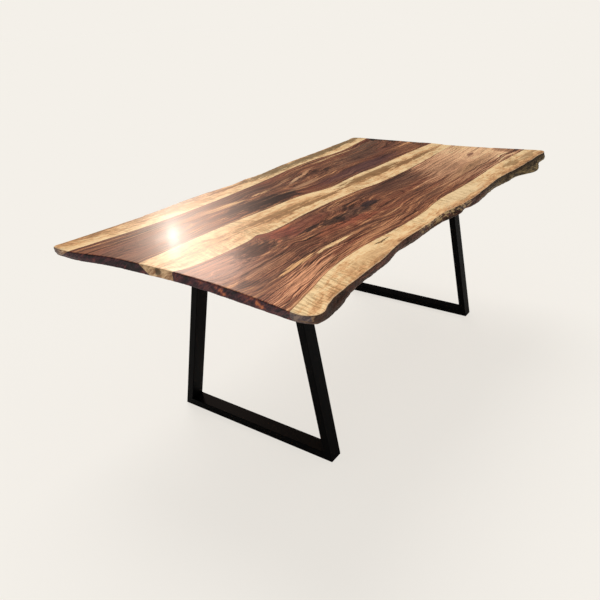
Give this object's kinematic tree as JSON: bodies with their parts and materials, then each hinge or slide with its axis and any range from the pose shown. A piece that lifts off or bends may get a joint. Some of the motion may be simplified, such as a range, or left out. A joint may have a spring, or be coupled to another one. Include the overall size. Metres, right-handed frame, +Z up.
{
  "type": "dining table",
  "caption": "Long dining table: a live edge top of two joined natural-edge slabs, stiffened below with let-in steel channels, on two bolted trapezoid frames of rectangular steel tube.",
  "frame": {"origin": "on the floor under the middle of the top's bounding box", "axes": "+X along the table towards its far end, +Y across it towards the rear slab, +Z up"},
  "size_m": [2.1436, 1.1209, 0.768],
  "materials": {
    "slab_wood": "dark heartwood with pale sapwood under a clear satin lacquer",
    "tenon_wood": "bare hardwood",
    "frame_steel": "satin black powder coat",
    "zinc_steel": "zinc plated",
    "pad_rubber": "matt black rubber"
  },
  "bodies": {
    "root": {"front_slab": "slab_wood", "rear_slab": "slab_wood", "alignment_tenons": "tenon_wood", "near_channel": "frame_steel", "middle_channel": "frame_steel", "far_channel": "frame_steel", "channel_inserts": "zinc_steel", "channel_screws": "zinc_steel", "near_mounting_plate": "frame_steel", "near_foot_rail": "frame_steel", "near_front_leg": "frame_steel", "near_rear_leg": "frame_steel", "near_front_foot_pad": "pad_rubber", "near_rear_foot_pad": "pad_rubber", "near_frame_inserts": "zinc_steel", "near_frame_washers": "zinc_steel", "near_frame_bolts": "zinc_steel", "far_mounting_plate": "frame_steel", "far_foot_rail": "frame_steel", "far_front_leg": "frame_steel", "far_rear_leg": "frame_steel", "far_front_foot_pad": "pad_rubber", "far_rear_foot_pad": "pad_rubber", "far_frame_inserts": "zinc_steel", "far_frame_washers": "zinc_steel", "far_frame_bolts": "zinc_steel"}
  },
  "joints": []
}
